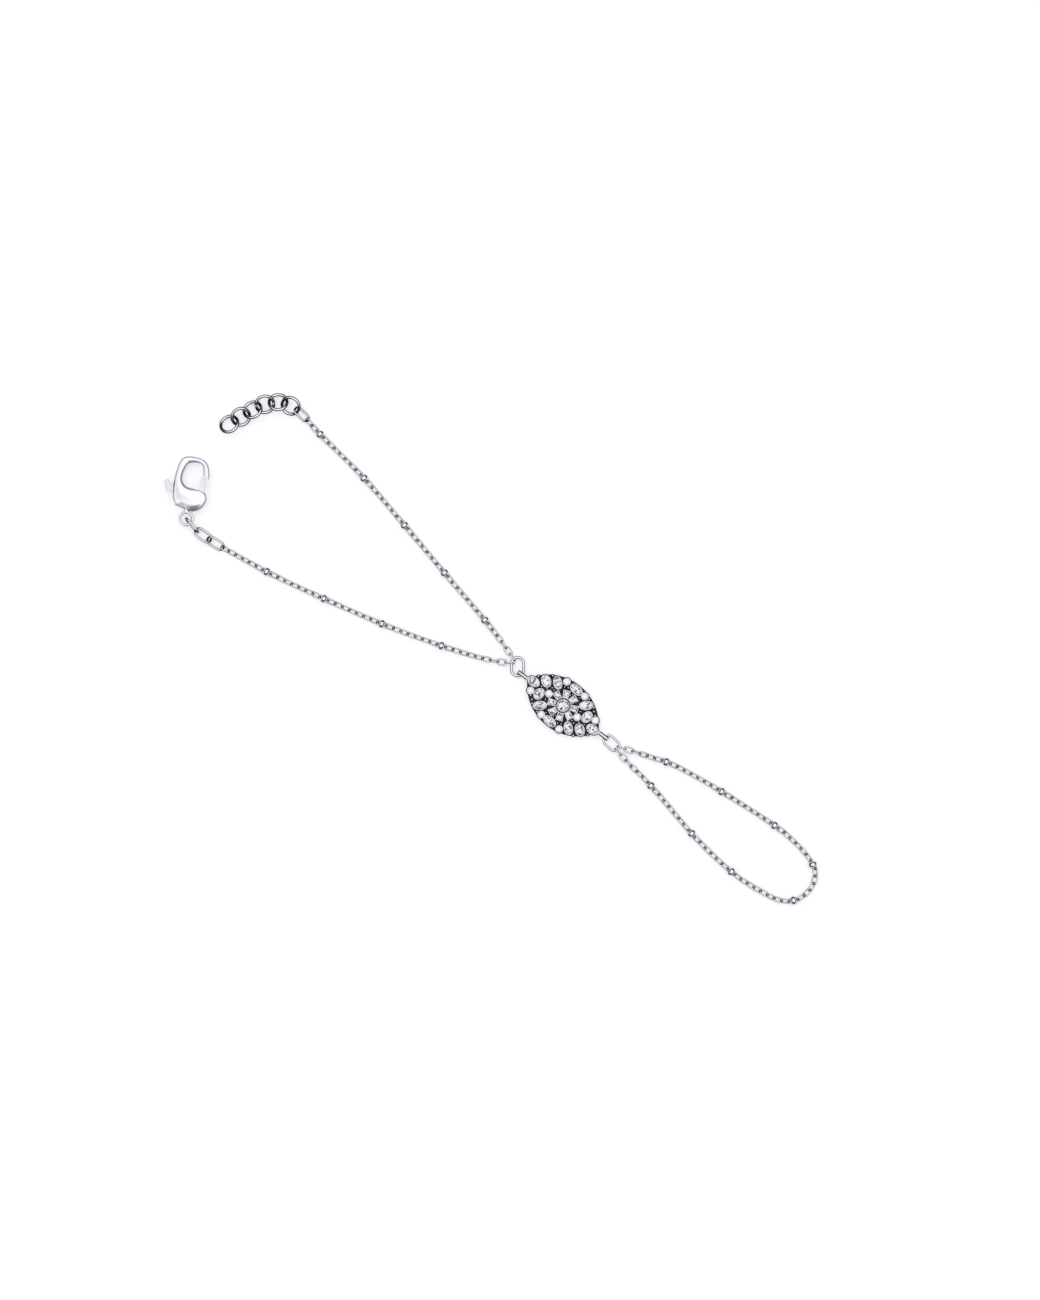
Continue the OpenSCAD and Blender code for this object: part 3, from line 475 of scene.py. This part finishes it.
def taper_path(turn):
    """The four sides of a tapered cup, each from near one corner to near the next, turned to their place. A
    point of a side is (1 - t) of its first corner plus t of its second."""
    x0, x1, w0, w1 = TAPER * UNIT + TAPER_DRAW * CUP_WALL / 2
    corner = np.array([[x0, -w0 / 2], [x1, -w1 / 2], [x1, w1 / 2], [x0, w0 / 2]])
    t = np.linspace(TAPER_CORNER, 1 - TAPER_CORNER, TAPER_STEPS)[:, None]
    sides = [(1 - t) * corner[i] + t * corner[(i + 1) % 4] for i in range(4)]
    return turned(np.concatenate(sides), turn)


paths = []
for half in (1, -1):
    for x, y, turn, length, width in OVALS:
        paths.append((oval_path(half * x, half * y, turn, length, width, OVAL_STEPS), CUP_TOP))
    for x, y, width in ROUNDS:
        paths.append((oval_path(half * x, half * y, 0, width, width, ROUND_STEPS), CUP_TOP))
paths += [(taper_path(turn), CUP_TOP) for turn in TAPER_TURNS]
width = CENTRE_CUP - CENTRE_DRAW
paths.append((oval_path(0, 0, 0, width, width, CENTRE_STEPS), CUP_TOP + CENTRE_RISE))
points, faces, count = [], [], 0
for path, height in paths:
    shape, quads = rim_surface(path, height)
    points.append(shape)
    faces.append(quads + count)
    count += len(shape)
points, faces = np.concatenate(points).tolist(), np.concatenate(faces).tolist()
rim_metal = bright_plate_with_painted_reflection("polished_cup_rims", rough=(0.1, 0.22), grain=5000)
new_piece("cup_rims", points, faces, rim_metal)

# The stones: clear cut stones, ovals, rounds, tapered baguettes and one larger round, each dropped into its
# cup. They are colourless; their flashes and a faint lilac mirrored from the metal round them are painted
# into their colour.


def cut_stone(name, shade, middle, bright, scale):
    """Clear stone whose inner flashes, light thrown back from inside it, are painted into its colour as cells
    of the given scale, each of a lilac-grey shade, a pale middle tone or a bright one."""
    material = bpy.data.materials.new(name)
    material.use_nodes = True
    tree = material.node_tree
    shader = tree.nodes["Principled BSDF"]
    place = add_node(tree, "ShaderNodeTexCoord").outputs["Object"]
    cells = add_node(tree, "ShaderNodeTexVoronoi", Scale=float(scale))
    tree.links.new(place, cells.inputs["Vector"])
    tree.links.new(ramp(tree, cells.outputs["Color"], [(0.28, shade), (0.45, middle), (0.6, bright)]),
                   shader.inputs["Base Color"])
    shader.inputs["Roughness"].default_value = 0.03
    shader.inputs["IOR"].default_value = 1.8
    shader.inputs["Transmission Weight"].default_value = 0.3
    return material


fancy = cut_stone("clear_fancy_stone", (0.09, 0.094, 0.14), (0.80, 0.82, 0.90), (0.96, 0.97, 1.0), 2300)
small = cut_stone("clear_small_stone", (0.90, 0.91, 0.95), (1.0, 1.0, 1.0), (1.0, 1.0, 1.0), 3200)
large = cut_stone("clear_centre_stone", (0.02, 0.022, 0.04), (0.66, 0.67, 0.74), (1.0, 1.0, 1.0), 2000)
for name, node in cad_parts.items():
    if "stone" in name or "baguette" in name:
        node.data.materials.clear()
        node.data.materials.append({"round": small, "centre": large}.get(name.split("_")[0], fancy))

# The lobster clasp: a brass body cast in one with its hook and eye, polished and plated like the chains, and
# the rivet through it that carries the lever.
# The clasp's painted reflection on its steep sides is a paler grey
clasp_metal = bright_plate_with_painted_reflection("polished_clasp", white=(0.93, 0.935, 0.96), shade=(0.86, 0.865, 0.91),
                                  rough=(0.14, 0.2), drift=260, grain=1500, edge=(0.16, 0.34),
                                  painted_reflection_tone=(0.22, 0.226, 0.26))
smooth_copy("clasp_casting", "clasp_body", clasp_metal, 50)
smooth_copy("clasp_rivet", "clasp_pin", clasp_metal, 32)

# The clasp's lever: a stamped plate with tumbled edges, plated like the body. It swings on the rivet in the
# body's slot.
LEVER_ROUNDING = 0.00012

lever_metal = bright_plate_with_painted_reflection("tumbled_lever", white=(0.84, 0.845, 0.87), shade=(0.77, 0.775, 0.81),
                                  rough=(0.1, 0.16), drift=260, grain=1500, edge=(0.04, 0.25))
lever = smooth_copy("clasp_gate", "clasp_lever", lever_metal, 32, body="clasp_lever")
round_over = lever.modifiers.new("tumbled_edges", "BEVEL")
round_over.width = LEVER_ROUNDING
round_over.segments = 3
round_over.limit_method = "ANGLE"

# The floor: a pale board a hair's breadth under the bracelet. It glows a little, so that it stays even, and
# polished metal mirrors it brighter than the camera sees it, so that low views stay bright.
BOARD = 4.0
BOARD_GAP = 3e-5
BOARD_SEEN = (0.405, 0.405, 0.406)
BOARD_MIRRORED = (0.55, 0.555, 0.58)

board = bpy.data.meshes.new("pale_board")
corners = [(-BOARD, -BOARD), (BOARD, -BOARD), (BOARD, BOARD), (-BOARD, BOARD)]
board.from_pydata([(x, y, -BOARD_GAP) for x, y in corners], [], [(0, 1, 2, 3)])
floor = bpy.data.objects.new("pale_board", board)
bpy.context.scene.collection.objects.link(floor)
pale = bpy.data.materials.new("pale_board")
pale.use_nodes = True
tree = pale.node_tree
shader = tree.nodes["Principled BSDF"]
shader.inputs["Roughness"].default_value = 0.9
shader.inputs["Specular IOR Level"].default_value = 0.1
mirrored = add_node(tree, "ShaderNodeMix", data_type="RGBA")
tree.links.new(add_node(tree, "ShaderNodeLightPath").outputs["Is Glossy Ray"], mirrored.inputs["Factor"])
mirrored.inputs["A"].default_value = (*BOARD_SEEN, 1)
mirrored.inputs["B"].default_value = (*BOARD_MIRRORED, 1)
for socket in ("Base Color", "Emission Color"):
    tree.links.new(mirrored.outputs["Result"], shader.inputs[socket])
shader.inputs["Emission Strength"].default_value = 1.3
board.materials.append(pale)

# The room: pale light from all round, dark at the horizon and darker towards two of its sides, with a soft
# panel overhead. Its two darker directions are 30 degrees up on the near side of the picture and 60 degrees
# up on its left. The camera sees it as one plain tone.
OVERHEAD = (0, 0, 1)
NEAR_SIDE = (0.521, -0.692, 0.5)
LEFT_SIDE = (-0.400, -0.301, 0.866)
ROOM_SEEN = (0.9, 0.9, 0.91)
PANEL_PLACE = (-0.5, 0.2, 1.5)
PANEL_LEAN = -18

world = bpy.data.worlds.new("pale_room")
bpy.context.scene.world = world
world.use_nodes = True
tree = world.node_tree
room = tree.nodes["Background"]


def room_tint(towards, stops):
    """Tint of the room round a direction: the cosine of the angle from it through a colour ramp."""
    cosine = add_node(tree, "ShaderNodeVectorMath", operation="DOT_PRODUCT")
    tree.links.new(add_node(tree, "ShaderNodeTexCoord").outputs["Generated"], cosine.inputs[0])
    cosine.inputs[1].default_value = towards
    return ramp(tree, cosine.outputs["Value"], stops)


def tinted(a, b):
    """The product of two tints."""
    mix = add_node(tree, "ShaderNodeMix", data_type="RGBA", blend_type="MULTIPLY")
    mix.inputs["Factor"].default_value = 1.0
    tree.links.new(a, mix.inputs["A"])
    tree.links.new(b, mix.inputs["B"])
    return mix.outputs["Result"]


horizon = room_tint(OVERHEAD, [
    (0.0, (0.1, 0.102, 0.12)),
    (0.06, (0.3, 0.305, 0.34)),
    (0.16, (0.82, 0.83, 0.87)),
    (0.5, (0.95, 0.955, 0.975)),
    (0.75, (1, 1, 1)),
])
near_side = room_tint(NEAR_SIDE, [(0.82, (1, 1, 1)), (0.96, (0.2, 0.205, 0.24))])
left_side = room_tint(LEFT_SIDE, [(0.86, (1, 1, 1)), (0.97, (0.74, 0.74, 0.80))])
plain = add_node(tree, "ShaderNodeMix", data_type="RGBA")
tree.links.new(add_node(tree, "ShaderNodeLightPath").outputs["Is Camera Ray"], plain.inputs["Factor"])
tree.links.new(tinted(horizon, tinted(near_side, left_side)), plain.inputs["A"])
plain.inputs["B"].default_value = (*ROOM_SEEN, 1)
tree.links.new(plain.outputs["Result"], room.inputs["Color"])
room.inputs["Strength"].default_value = 1.12

soft = bpy.data.lights.new("soft_panel", "AREA")
soft.shape = "SQUARE"
soft.size = 1.6
soft.energy = 12
panel = bpy.data.objects.new("soft_panel", soft)
bpy.context.scene.collection.objects.link(panel)
panel.location = PANEL_PLACE
panel.rotation_euler = (0, math.radians(PANEL_LEAN), 0)
panel.visible_glossy = False

# The camera: a long lens high over the bracelet that looks straight down, turned so that the bracelet lies
# as in the photograph.
CAMERA_PLACE = (-0.0169, 0.0046, 0.9028)
CAMERA_TURN = 37

lens = bpy.data.cameras.new("camera")
lens.lens = 100
camera = bpy.data.objects.new("camera", lens)
bpy.context.scene.collection.objects.link(camera)
camera.location = CAMERA_PLACE
camera.rotation_euler = (0, 0, math.radians(CAMERA_TURN))
bpy.context.scene.camera = camera
bpy.context.scene.view_settings.view_transform = "Standard"
